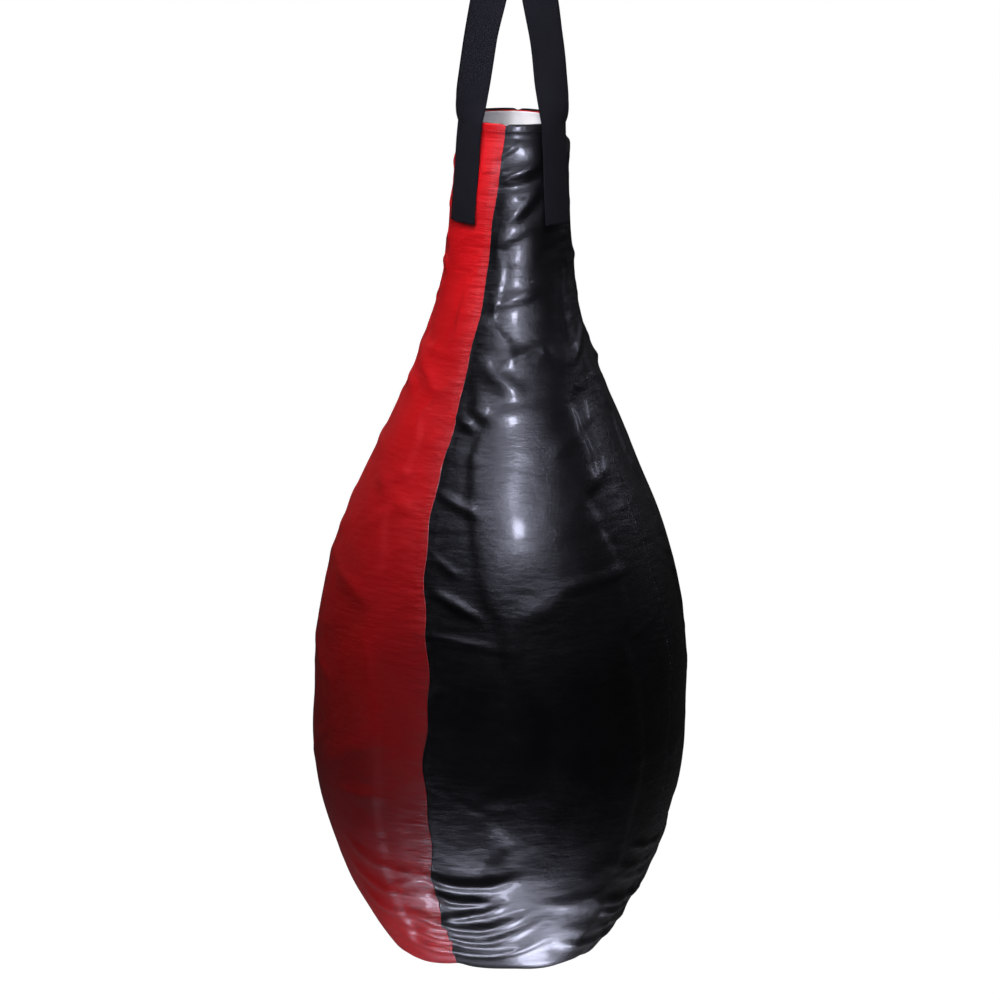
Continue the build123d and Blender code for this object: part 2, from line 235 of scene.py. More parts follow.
# ---------------------------------------------------------------- finishes
class NodeKit:
    """Builds one node-based material."""

    def __init__(self, name: str) -> None:
        """Starts a material with a Principled shader."""
        self.material = bpy.data.materials.new(name)
        self.material.use_nodes = True
        self.tree = self.material.node_tree
        self.shader = self.tree.nodes["Principled BSDF"]

    def add(self, kind: str, inputs: dict | None = None, **settings: object) -> bpy.types.Node:
        """Adds a node.

        Args:
            kind: The node's type, without its ShaderNode prefix.
            inputs: Socket names with a value, or with a socket to link from.
            settings: Properties of the node.

        Returns:
            The new node.
        """
        node = self.tree.nodes.new("ShaderNode" + kind)
        for key, value in settings.items():
            setattr(node, key, value)
        for key, value in (inputs or {}).items():
            self.put(node.inputs[key], value)
        return node

    def put(self, socket: bpy.types.NodeSocket, value: object) -> None:
        """Links a socket, or sets its value."""
        if isinstance(value, bpy.types.NodeSocket):
            self.tree.links.new(value, socket)
        else:
            socket.default_value = value

    def place(self, scale: tuple[float, float, float] = (1, 1, 1)) -> bpy.types.NodeSocket:
        """Object coordinates, stretched."""
        coordinates = self.add("TexCoord").outputs["Object"]
        return self.add("Mapping", {"Vector": coordinates, "Scale": scale}).outputs["Vector"]

    def noise(self, at: bpy.types.NodeSocket, scale: float, detail: float = 3.0) -> bpy.types.NodeSocket:
        """A noise value from 0 to 1."""
        node = self.add("TexNoise", {"Vector": at, "Scale": scale, "Detail": detail})
        return node.outputs["Fac"]

    def span(
        self, value: bpy.types.NodeSocket, low: float, high: float, to: tuple[float, float]
    ) -> bpy.types.NodeSocket:
        """Maps a value from one range onto another, held at its ends.

        Args:
            value: The socket to map.
            low: Start of its range.
            high: End of its range.
            to: The new range.

        Returns:
            The mapped socket.
        """
        inputs = {"Value": value, "From Min": low, "From Max": high, "To Min": to[0], "To Max": to[1]}
        return self.add("MapRange", inputs).outputs["Result"]

    def math(self, operation: str, a: object, b: object = 0.0) -> bpy.types.NodeSocket:
        """One arithmetic step.

        Args:
            operation: Blender's name for the step.
            a: First socket or number.
            b: Second socket or number.

        Returns:
            The result.
        """
        node = self.add("Math", operation=operation)
        self.put(node.inputs[0], a)
        self.put(node.inputs[1], b)
        return node.outputs[0]

    def mix(self, share: object, a: object, b: object) -> bpy.types.NodeSocket:
        """Mixes two colours.

        Args:
            share: Share of the second, from 0 to 1.
            a: First colour.
            b: Second colour.

        Returns:
            The mixed colour.
        """
        node = self.add("Mix", data_type="RGBA")
        self.put(node.inputs[0], share)
        self.put(node.inputs[6], a)
        self.put(node.inputs[7], b)
        return node.outputs[2]

    def bump(self, height: object, depth: float, under: object = None) -> bpy.types.NodeSocket:
        """Adds a bump of a depth in metres, over another one.

        Args:
            height: Height from 0 to 1.
            depth: Depth of a full height.
            under: A normal that it is laid over.

        Returns:
            The new normal.
        """
        node = self.add("Bump", {"Height": height, "Strength": 1.0, "Distance": depth})
        if under is not None:
            self.put(node.inputs["Normal"], under)
        return node.outputs["Normal"]

    def attribute(self, name: str) -> bpy.types.NodeSocket:
        """A number stored on the mesh."""
        return self.add("Attribute", attribute_name=name).outputs["Fac"]


def grey(value: float) -> tuple[float, float, float, float]:
    """A neutral colour."""
    return (value, value, value, 1.0)


@dataclass(frozen=True)
class Leatherette:
    """Glossy synthetic leather with fine grain, soft creases and scuffed seams."""

    name: str
    colour: tuple[float, float, float, float]
    deep: tuple[float, float, float, float]
    worn: tuple[float, float, float, float]
    shine: tuple[float, float] = (0.2, 0.34)
    crinkles: float = 0.0011

    def make(self) -> bpy.types.Material:
        """Builds the material."""
        kit = NodeKit(self.name)
        place = kit.place()
        cloudy = kit.noise(place, 7.0, 4.0)
        base = kit.mix(kit.span(cloudy, 0.35, 0.65, (0.0, 1.0)), self.deep, self.colour)
        seam = kit.attribute("seam")
        rub = kit.math("MULTIPLY", seam, kit.span(kit.noise(place, 90.0, 5.0), 0.45, 0.7, (0.0, 1.0)))
        scuffs = kit.noise(kit.place((40.0, 40.0, 190.0)), 1.0, 6.0)
        scuff = kit.span(scuffs, 0.66, 0.74, (0.0, 0.35))
        base = kit.mix(kit.math("MULTIPLY", rub, 0.5), base, self.worn)
        base = kit.mix(kit.math("MULTIPLY", scuff, 0.3), base, self.worn)
        kit.put(kit.shader.inputs["Base Color"], base)
        shine = kit.span(kit.noise(place, 24.0, 4.0), 0.3, 0.7, self.shine)
        shine = kit.math("ADD", shine, kit.math("MULTIPLY", rub, 0.12))
        kit.put(kit.shader.inputs["Roughness"], shine)
        cells = kit.add("TexVoronoi", {"Vector": place, "Scale": 1100.0}, feature="DISTANCE_TO_EDGE")
        grain = kit.span(cells.outputs["Distance"], 0.0, 0.12, (0.0, 1.0))
        soft = kit.noise(kit.place((34.0, 34.0, 60.0)), 1.0, 3.0)
        crinkle = kit.noise(kit.place((22.0, 22.0, 120.0)), 1.0, 4.0)
        near = kit.span(seam, 0.0, 0.6, (0.35, 1.0))
        pores = kit.noise(place, 420.0, 3.0)
        normal = kit.bump(soft, 0.0009)
        normal = kit.bump(kit.math("MULTIPLY", crinkle, near), self.crinkles, normal)
        normal = kit.bump(pores, 0.00005, normal)
        normal = kit.bump(grain, 0.00003, normal)
        kit.put(kit.shader.inputs["Normal"], normal)
        kit.shader.inputs["Specular IOR Level"].default_value = 0.45
        kit.shader.inputs["Coat Weight"].default_value = 0.12
        kit.shader.inputs["Coat Roughness"].default_value = 0.12
        return kit.material


@dataclass(frozen=True)
class Weave:
    """Woven cloth or webbing that follows the piece's UV map, in metres, with painted shade along its long
    edges where a half width is given.
    """

    name: str
    colour: tuple[float, float, float, float]
    deep: tuple[float, float, float, float]
    across: float
    along: float
    depth: float
    sheen: float = 0.25
    painted_shade_half_width: float = 0.0

    def make(self) -> bpy.types.Material:
        """Builds the material."""
        kit = NodeKit(self.name)
        uv = kit.add("UVMap").outputs["UV"]
        split = kit.add("SeparateXYZ", {"Vector": uv})
        u, v = split.outputs["X"], split.outputs["Y"]
        row = kit.math("MULTIPLY", v, math.tau / self.along)
        column = kit.math("MULTIPLY", u, math.tau / self.across)
        weft = kit.math("SINE", kit.math("ADD", row, kit.math("MULTIPLY", column, 0.5)))
        warp = kit.math("SINE", column)
        threads = kit.math("MULTIPLY", weft, warp)
        height = kit.span(threads, -1.0, 1.0, (0.0, 1.0))
        place = kit.place()
        fuzz = kit.noise(place, 900.0, 4.0)
        patch = kit.noise(place, 26.0, 4.0)
        tone = kit.math("MULTIPLY", height, kit.span(patch, 0.3, 0.7, (0.55, 1.0)))
        base = kit.mix(tone, self.deep, self.colour)
        # Painted shade: with a half width given, the colour darkens towards both long edges, where the
        # webbing turns away from the light.
        if self.painted_shade_half_width:
            edge = kit.math("ABSOLUTE", u)
            rim = kit.span(edge, self.painted_shade_half_width * 0.86, self.painted_shade_half_width * 0.95, (0.0, 0.55))
            base = kit.mix(rim, base, self.deep)
        kit.put(kit.shader.inputs["Base Color"], base)
        kit.put(kit.shader.inputs["Roughness"], kit.span(fuzz, 0.2, 0.8, (0.62, 0.9)))
        normal = kit.bump(height, self.depth)
        normal = kit.bump(fuzz, self.depth * 0.3, normal)
        kit.put(kit.shader.inputs["Normal"], normal)
        kit.shader.inputs["Specular IOR Level"].default_value = 0.2
        kit.shader.inputs["Sheen Weight"].default_value = self.sheen
        kit.shader.inputs["Sheen Roughness"].default_value = 0.45
        return kit.material


@dataclass(frozen=True)
class Thread:
    """Twisted sewing thread."""

    name: str
    colour: tuple[float, float, float, float]
    deep: tuple[float, float, float, float]

    def make(self) -> bpy.types.Material:
        """Builds the material."""
        kit = NodeKit(self.name)
        fibre = kit.noise(kit.place((1.0, 1.0, 2.5)), 1500.0, 3.0)
        kit.put(kit.shader.inputs["Base Color"], kit.mix(fibre, self.deep, self.colour))
        kit.put(kit.shader.inputs["Roughness"], kit.span(fibre, 0.3, 0.7, (0.45, 0.7)))
        kit.put(kit.shader.inputs["Normal"], kit.bump(fibre, 0.0001))
        kit.shader.inputs["Sheen Weight"].default_value = 0.3
        return kit.material


@dataclass(frozen=True)
class Metal:
    """Plated or turned metal with fine scratches and dull patches."""

    name: str
    colour: tuple[float, float, float, float]
    dull: tuple[float, float, float, float]
    shine: tuple[float, float] = (0.22, 0.42)

    def make(self) -> bpy.types.Material:
        """Builds the material."""
        kit = NodeKit(self.name)
        place = kit.place()
        patch = kit.noise(place, 60.0, 5.0)
        base = kit.mix(kit.span(patch, 0.35, 0.7, (0.0, 0.8)), self.colour, self.dull)
        kit.put(kit.shader.inputs["Base Color"], base)
        scratch = kit.noise(kit.place((260.0, 260.0, 2600.0)), 1.0, 5.0)
        shine = kit.math("ADD", kit.span(patch, 0.3, 0.7, self.shine), kit.math("MULTIPLY", scratch, 0.12))
        kit.put(kit.shader.inputs["Roughness"], shine)
        normal = kit.bump(scratch, 0.00002)
        normal = kit.bump(kit.noise(place, 700.0, 2.0), 0.00003, normal)
        kit.put(kit.shader.inputs["Normal"], normal)
        kit.shader.inputs["Metallic"].default_value = 1.0
        return kit.material


@dataclass(frozen=True)
class Plain:
    """Cloudy matte stuff, such as rubber, foam or packed scraps."""

    name: str
    colour: tuple[float, float, float, float]
    deep: tuple[float, float, float, float]
    grain: float
    depth: float

    def make(self) -> bpy.types.Material:
        """Builds the material."""
        kit = NodeKit(self.name)
        place = kit.place()
        speck = kit.noise(place, self.grain, 5.0)
        kit.put(kit.shader.inputs["Base Color"], kit.mix(speck, self.deep, self.colour))
        kit.put(kit.shader.inputs["Roughness"], kit.span(speck, 0.3, 0.7, (0.7, 0.95)))
        kit.put(kit.shader.inputs["Normal"], kit.bump(speck, self.depth))
        return kit.material


class Finishes:
    """All finishes of the bag, each made once."""

    def __init__(self) -> None:
        """Builds every material."""
        self.black = Leatherette(
            "black_cover", (0.0035, 0.0035, 0.005, 1), (0.0015, 0.0015, 0.002, 1), (0.018, 0.018, 0.022, 1),
            (0.29, 0.37),
        ).make()
        self.red = Leatherette(
            "red_cover", (0.66, 0.004, 0.008, 1), (0.5, 0.002, 0.005, 1), (0.5, 0.01, 0.012, 1),
            (0.38, 0.5), 0.0024,
        ).make()
        # The webbing's last value, its half width of 0.022 m, sets the edges that take painted shade.
        self.webbing = Weave(
            "navy_webbing", (0.0085, 0.0085, 0.014, 1), (0.0025, 0.0025, 0.0045, 1), 0.0022, 0.0016, 0.0003,
            0.02, 0.022,
        ).make()
        self.lining = Weave(
            "white_lining", (0.9, 0.9, 0.92, 1), (0.72, 0.72, 0.76, 1), 0.0011, 0.0011, 0.0001
        ).make()
        self.black_thread = Thread("black_thread", (0.02, 0.02, 0.024, 1), (0.006, 0.006, 0.008, 1)).make()
        self.red_thread = Thread("red_thread", (0.34, 0.01, 0.012, 1), (0.14, 0.004, 0.006, 1)).make()
        self.white_thread = Thread("white_thread", (0.8, 0.8, 0.82, 1), (0.5, 0.5, 0.54, 1)).make()
        self.zinc = Metal("zinc_plate", (0.62, 0.63, 0.66, 1), (0.4, 0.41, 0.43, 1)).make()
        self.brass = Metal("cage_brass", (0.72, 0.5, 0.2, 1), (0.45, 0.3, 0.12, 1)).make()
        self.rubber = Plain(
            "seal_rubber", (0.03, 0.03, 0.032, 1), (0.012, 0.012, 0.013, 1), 300.0, 0.0002
        ).make()
        self.foam = Plain("foam", (0.5, 0.5, 0.47, 1), (0.3, 0.3, 0.28, 1), 500.0, 0.0005).make()
        self.scraps = Plain("textile_scraps", (0.5, 0.5, 0.55, 1), (0.1, 0.12, 0.2, 1), 60.0, 0.004).make()


# ---------------------------------------------------------------- the cover's shape
@dataclass
class BagOutline:
    """The cover's outline from the mouth to the flat bottom, in metres and degrees."""

    neck_radius: float = 0.064
    neck_length: float = 0.130
    neck_heading: float = 3.8
    flare_radius: float = 0.638
    slope_length: float = 0.130
    slope_heading: float = 24.0
    shoulder_radius: float = 0.600
    belly_length: float = 0.050
    lower_radius: float = 0.430
    lower_length: float = 0.036
    lower_heading: float = -37.0
    corner_radius: float = 0.022
    step: float = 0.0005

    def __post_init__(self) -> None:
        """Walks down the outline and keeps radius, height and heading by length."""
        turns = [
            (self.neck_length, 0.0, self.neck_heading),
            (self.flare_radius, 1.0, self.slope_heading),
            (self.slope_length, 0.0, self.slope_heading),
            (self.shoulder_radius, 1.0, 0.0),
            (self.belly_length, 0.0, 0.0),
            (self.lower_radius, 1.0, self.lower_heading),
            (self.lower_length, 0.0, self.lower_heading),
            (self.corner_radius, 1.0, -90.0),
        ]
        lengths, headings, heading = [0.0], [self.neck_heading], self.neck_heading
        for size, curved, to in turns:
            length = size * math.radians(abs(to - heading)) if curved else size
            lengths.append(lengths[-1] + length)
            headings.append(to)
            heading = to
        self.length = lengths[-1]
        self.along = np.arange(-0.01, self.length + self.step, self.step)
        self.heading = np.radians(np.interp(self.along, lengths, headings))
        middle = (self.heading[1:] + self.heading[:-1]) / 2
        start = int(round(0.01 / self.step))
        radius = np.concatenate([[0], np.cumsum(np.sin(middle) * self.step)])
        drop = np.concatenate([[0], np.cumsum(np.cos(middle) * self.step)])
        self.rim_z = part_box("panel_front")[1].z
        self.radius = radius - radius[start] + self.neck_radius
        self.height = self.rim_z - (drop - drop[start])

    def at(self, s: np.ndarray, inset: np.ndarray | float = 0.0) -> tuple[np.ndarray, np.ndarray]:
        """Radius and height at a length down the outline, set in from the surface.

        Args:
            s: Length down the outline.
            inset: Distance inside the outline.

        Returns:
            Arrays of radii and heights.
        """
        turn = np.interp(s, self.along, self.heading)
        radius = np.interp(s, self.along, self.radius) - np.cos(turn) * inset
        height = np.interp(s, self.along, self.height) - np.sin(turn) * inset
        return radius, height


@dataclass
class Crease:
    """One soft fold in the cover.

    Lengths are in metres, angles in degrees. A tilt above zero falls to the right.
    """

    depth: float
    azimuth: float
    length: float
    width: float
    tilt: float
    height: float
    curve: float = 0.0

    def lift(self, azimuth: np.ndarray, s: np.ndarray, radius: np.ndarray) -> np.ndarray:
        """How far the fold lifts the surface at each place.

        Args:
            azimuth: Degrees round the bag.
            s: Length down the outline.
            radius: The outline's radius there.

        Returns:
            Heights over the surface.
        """
        turn = (azimuth - self.azimuth + 180) % 360 - 180
        sideways = np.radians(turn) * radius
        down = s - self.depth
        cos, sin = math.cos(math.radians(self.tilt)), math.sin(math.radians(self.tilt))
        along = sideways * cos + down * sin
        across = down * cos - sideways * sin + self.curve * along**2
        return self.height * np.exp(-((across / self.width) ** 2) - (along / self.length) ** 4)


class CoverSurface:
    """The stuffed cover's outer surface: outline, seams, puffed panels and creases."""

    seam_top: float = -7.0
    seam_swing: float = -22.0
    seam_return: float = 6.0
    puff: float = 0.0020
    puff_width: float = 0.012
    stand_off: float = 0.0010
    soft_floor: float = 0.0010

    def __init__(self, outline: BagOutline) -> None:
        """Sets up the outline and chooses the creases."""
        self.outline = outline
        self.creases = self.placed_creases() + self.scattered_creases(random.Random(11))
        self.swell = None

    def seam(self, s: np.ndarray) -> np.ndarray:
        """Azimuth of the front seam at a length down the outline.

        Args:
            s: Length down the outline.

        Returns:
            Degrees, where 0 is the front.
        """
        upper = 1 - (1 - np.clip(s / 0.41, 0, 1)) ** 1.5
        lower = smooth_step((s - 0.53) / 0.14)
        wander = 0.7 * np.sin(s * 37.0) + 0.4 * np.sin(s * 83.0 + 1.0)
        return self.seam_top + self.seam_swing * upper + self.seam_return * lower + wander

    def placed_creases(self) -> list[Crease]:
        """The folds that show at the front."""
        return [
            Crease(0.030, -3, 0.016, 0.0045, -42, 0.0022),
            Crease(0.058, 8, 0.028, 0.0060, -20, 0.0030),
            Crease(0.074, 10, 0.024, 0.0055, -16, -0.0018),
            Crease(0.100, 14, 0.026, 0.0090, -48, 0.0032),
            Crease(0.135, 4, 0.030, 0.0080, -30, 0.0020),
            Crease(0.216, 5, 0.030, 0.0100, -18, 0.0030),
            Crease(0.240, -2, 0.034, 0.0080, 12, -0.0018),
            Crease(0.280, 15, 0.034, 0.0075, -24, 0.0030),
            Crease(0.318, -3, 0.030, 0.0110, 38, 0.0028),
            Crease(0.372, -22, 0.018, 0.0060, 30, 0.0030),
            Crease(0.385, 38, 0.050, 0.0120, -35, 0.0024),
            Crease(0.475, -20, 0.032, 0.0060, 24, 0.0034),
            Crease(0.553, -21, 0.026, 0.0060, 30, 0.0032),
            Crease(0.600, -16, 0.045, 0.0070, 24, 0.0034),
            Crease(0.645, -16, 0.045, 0.0055, 6, 0.0024),
            Crease(0.570, 36, 0.060, 0.0080, -9, 0.0020),
            Crease(0.965, -11, 0.055, 0.0075, -2, 0.0060, 4.0),
            Crease(0.990, -14, 0.036, 0.0060, 3, 0.0050, 4.0),
            Crease(1.008, -8, 0.040, 0.0065, -22, 0.0050, 2.0),
            Crease(1.034, -14, 0.072, 0.0080, 0, 0.0062, 4.0),
            Crease(1.058, -14, 0.080, 0.0070, -3, 0.0056, 3.5),
            Crease(1.082, -18, 0.085, 0.0075, 2, 0.0050, 2.5),
            Crease(0.475, -52, 0.050, 0.0110, 26, 0.0026),
            Crease(0.320, -58, 0.040, 0.0100, 34, 0.0026),
            Crease(0.600, -60, 0.055, 0.0110, 18, 0.0024),
            Crease(0.950, -46, 0.055, 0.0080, 14, 0.0036, 3.0),
            Crease(0.985, -50, 0.055, 0.0080, 16, 0.0036, 3.0),
            Crease(1.020, -48, 0.050, 0.0080, 12, 0.0040, 3.0),
        ]

    def scattered_creases(self, chance: random.Random) -> list[Crease]:
        """Puckers along every seam, and folds at the neck and bottom all round.

        Args:
            chance: The seeded source of their places and sizes.

        Returns:
            The folds.
        """
        folds = []
        for number in range(PANEL_COUNT):
            s = 0.03
            while s < self.outline.length - 0.06:
                seam = float(self.seam(np.array(s))) + 90 * number
                side = chance.choice((-1, 1))
                radius = float(self.outline.at(np.array(s))[0])
                reach = chance.uniform(0.012, 0.04) * (0.5 + radius / 0.231)
                azimuth = seam + side * math.degrees(reach * 1.1 / radius)
                tilt = side * chance.uniform(8, 34)
                height = chance.uniform(0.0003, 0.0011) * (0.4 + 0.6 * min(s / 0.4, 1))
                folds.append(Crease(s, azimuth, reach, chance.uniform(0.0035, 0.006), tilt, height))
                s += chance.uniform(0.012, 0.030)
            for level in range(7):
                s = 0.93 + 0.024 * level + chance.uniform(-0.006, 0.006)
                seam = float(self.seam(np.array(s))) + 90 * number + chance.uniform(-6, 6)
                if number:
                    height = chance.uniform(0.0030, 0.0056)
                    width = chance.uniform(0.006, 0.008)
                    length = chance.uniform(0.035, 0.075)
                    folds.append(Crease(s, seam, length, width, chance.uniform(-8, 8), height, 3.0))
        for _ in range(34):
            azimuth = chance.uniform(55, 315)
            s = chance.uniform(0.03, 0.34)
            width, height = chance.uniform(0.005, 0.010), chance.uniform(0.0012, 0.0030)
            tilt = chance.choice((-1, 1)) * chance.uniform(15, 45)
            folds.append(Crease(s, azimuth, chance.uniform(0.016, 0.036), width, tilt, height))
        for _ in range(70):
            azimuth = chance.uniform(0, 360)
            s = chance.uniform(0.36, 1.06)
            width, height = chance.uniform(0.007, 0.014), chance.uniform(0.0006, 0.0018)
            tilt = chance.uniform(-35, 35)
            folds.append(Crease(s, azimuth, chance.uniform(0.03, 0.07), width, tilt, height))
        return folds

    def tightness(self, s: np.ndarray) -> np.ndarray:
        """How tightly the filling stretches the cover: 0 at the neck and bottom, 1 between them."""
        return smooth_step((s - 0.14) / 0.08) * smooth_step((self.outline.length - 0.10 - s) / 0.10)

    def lift(self, azimuth: np.ndarray, s: np.ndarray, share: np.ndarray) -> np.ndarray:
        """Distance of the surface outside the plain outline.

        Args:
            azimuth: Degrees round the bag.
            s: Length down the outline.
            share: 0 at the panel's first seam, 1 at its second.

        Returns:
            Distances, never below zero.
        """
        radius, _ = self.outline.at(s)
        edge = np.minimum(share, 1 - share) * PANEL_ANGLE * radius
        full = smooth_step((s - 0.012) / 0.05)
        puff = self.puff * (0.35 + 0.65 * full) * (1 - np.exp(-((edge / self.puff_width) ** 2)))
        rise = np.zeros_like(s)
        for crease in self.creases:
            rise = rise + crease.lift(azimuth, s, radius)
        turn = np.radians(azimuth)
        lumps = 0.0009 * np.sin(3 * turn + s * 21 + 1) + 0.0008 * np.sin(5 * turn - s * 34)
        lumps = lumps + 0.0006 * np.sin(9 * turn + s * 57 + 2)
        held = smooth_step((s - 0.010) / 0.02)
        hem = 0.0020 * (1 - smooth_step((s - 0.0086) / 0.0016))
        tight = self.tightness(s)
        total = puff * (1 - 0.4 * tight) + hem
        total = total + held * (rise + lumps * (1 - 0.6 * tight) + self.stand_off * (1 - tight))
        if self.swell is not None:
            total = total + smooth_step((s - 0.10) / 0.16) * self.swell(azimuth, s)
        total = (total + np.sqrt(total**2 + (self.soft_floor * tight) ** 2)) / 2
        return np.clip(total, 0.0, 0.0135)

    def place(
        self, panel: int, share: np.ndarray, s: np.ndarray, inset: np.ndarray | float = 0.0
    ) -> np.ndarray:
        """Points on the surface.

        Args:
            panel: 0 front, 1 right, 2 back, 3 left.
            share: 0 at the panel's first seam, 1 at its second.
            s: Length down the outline from the rim.
            inset: Distance inside the surface.

        Returns:
            An array of points, in metres.
        """
        azimuth = self.seam(np.maximum(s, 0)) + 90 * (panel + share)
        lift = self.lift(azimuth, np.maximum(s, 0), share)
        radius, height = self.outline.at(s, inset - lift)
        edge = np.minimum(share, 1 - share) * PANEL_ANGLE * self.outline.neck_radius
        height = height - 0.002 * np.exp(-((edge / 0.0035) ** 2)) * smooth_step(1 - (s + 0.002) / 0.012)
        turn = np.radians(azimuth)
        return np.stack([radius * np.sin(turn), -radius * np.cos(turn), height], -1)


@dataclass
class CoverCloth:
    """Simulates the filled cover as one sleeve, to find how its cloth swells and folds.

    The seams draw in and the panels between them give, so folds run out from the seams.
    """

    surface: CoverSurface
    columns: int = 168
    rows: int = 132
    frames: int = 20
    pressure: float = 4.0
    seam_shrink: float = 0.05
    panel_give: float = -0.028
    seam_reach: float = 0.030
    cap: float = 0.0018
    swelling: np.ndarray | None = None

    def build_sleeve(self) -> bpy.types.Object:
        """Builds the sleeve on the plain outline, with each vertex's row and column stored."""
        length = self.surface.outline.length
        piece, across, down = grid_piece("cover_sleeve", self.columns, self.rows)
        s, azimuth = down * length, across * 360
        radius, height = self.surface.outline.at(s)
        turn = np.radians(azimuth)
        write_points(piece, np.stack([radius * np.sin(turn), -radius * np.cos(turn), height], 1))
        write_attribute(piece, "column", np.rint(across * self.columns) % self.columns)
        write_attribute(piece, "row", np.rint(down * self.rows))
        merge_doubles(piece, 0.0002)
        return piece

    def grid_place(self, piece: bpy.types.Object) -> tuple[np.ndarray, np.ndarray]:
        """Row and column of each vertex of the sleeve.

        Args:
            piece: The sleeve.

        Returns:
            Arrays of rows and columns.
        """
        found = []
        for name in ("row", "column"):
            values = np.zeros(len(piece.data.vertices), np.float32)
            piece.data.attributes[name].data.foreach_get("value", values)
            found.append(np.rint(values).astype(int))
        return found[0], found[1]

    def run(self) -> None:
        """Runs the simulation and gives the swelling to the surface."""
        piece = self.build_sleeve()
        row, column = self.grid_place(piece)
        s = row / self.rows * self.surface.outline.length
        azimuth = column / self.columns * 360
        radius, _ = self.surface.outline.at(s)
        off = (azimuth - self.surface.seam(s) + 45) % 90 - 45
        near = np.exp(-((np.radians(off) * radius / self.seam_reach) ** 2))
        pin = np.maximum(1 - s / 0.012, 1 - (self.surface.outline.length - s) / 0.012)
        for name, weights in (("pin", np.clip(pin, 0, 1)), ("draw_in", near)):
            group = piece.vertex_groups.new(name=name)
            for index, weight in enumerate(weights):
                group.add([index], float(weight), "REPLACE")
        start = read_points(piece)
        cloth = piece.modifiers.new("Cloth", "CLOTH")
        settings = cloth.settings
        settings.quality = 5
        settings.mass = 0.3
        settings.tension_stiffness = settings.compression_stiffness = 12
        settings.shear_stiffness = 4
        settings.bending_stiffness = 0.3
        settings.use_pressure = True
        settings.uniform_pressure_force = self.pressure
        settings.vertex_group_mass = "pin"
        settings.vertex_group_shrink = "draw_in"
        settings.shrink_min = self.panel_give
        settings.shrink_max = self.seam_shrink
        settings.effector_weights.gravity = 0
        for frame_number in range(1, self.frames + 1):
            bpy.context.scene.frame_set(frame_number)
        select_only(piece)
        bpy.ops.object.modifier_apply(modifier=cloth.name)
        moved = read_points(piece) - start
        turn = np.radians(azimuth)
        heading = np.interp(s, self.surface.outline.along, self.surface.outline.heading)
        outward = np.stack(
            [np.cos(heading) * np.sin(turn), -np.cos(heading) * np.cos(turn), np.sin(heading)], 1
        )
        grid = np.zeros((self.rows + 1, self.columns))
        grid[row, column] = (moved * outward).sum(1)
        LOG.info("cover cloth moved %.1f to %.1f mm", grid.min() / MM, grid.max() / MM)
        folds = self.blur(grid, 1, 1) - self.blur(grid, 12, 3)
        self.swelling = self.cap * np.tanh(folds / self.cap)
        self.surface.swell = self.read_swelling
        bpy.data.objects.remove(piece)
        bpy.context.scene.frame_set(1)

    def blur(self, grid: np.ndarray, passes: int, reach: int) -> np.ndarray:
        """Averages the grid with its neighbours, over and over.

        Args:
            grid: Values by row and column.
            passes: How many times.
            reach: How many cells away a neighbour is.

        Returns:
            The smoothed grid.
        """
        steps = (-reach, 0, reach)
        for _ in range(passes):
            padded = np.pad(grid, ((reach, reach), (0, 0)), mode="edge")
            grid = sum(padded[reach + k : len(padded) - reach + k] for k in steps) / 3
            grid = sum(np.roll(grid, k, 1) for k in steps) / 3
        return grid

    def read_swelling(self, azimuth: np.ndarray, s: np.ndarray) -> np.ndarray:
        """Swelling at places on the cover, between the sleeve's vertices.

        Args:
            azimuth: Degrees round the bag.
            s: Length down the outline.

        Returns:
            Distances outwards, in metres.
        """
        across = (azimuth % 360) / 360 * self.columns
        down = np.clip(s / self.surface.outline.length, 0, 0.99999) * self.rows
        column, row = np.floor(across).astype(int), np.floor(down).astype(int)
        a, b = across - column, down - row
        column, after = column % self.columns, (column + 1) % self.columns
        grid = self.swelling
        upper = grid[row, column] * (1 - a) + grid[row, after] * a
        lower = grid[row + 1, column] * (1 - a) + grid[row + 1, after] * a
        return upper * (1 - b) + lower * b


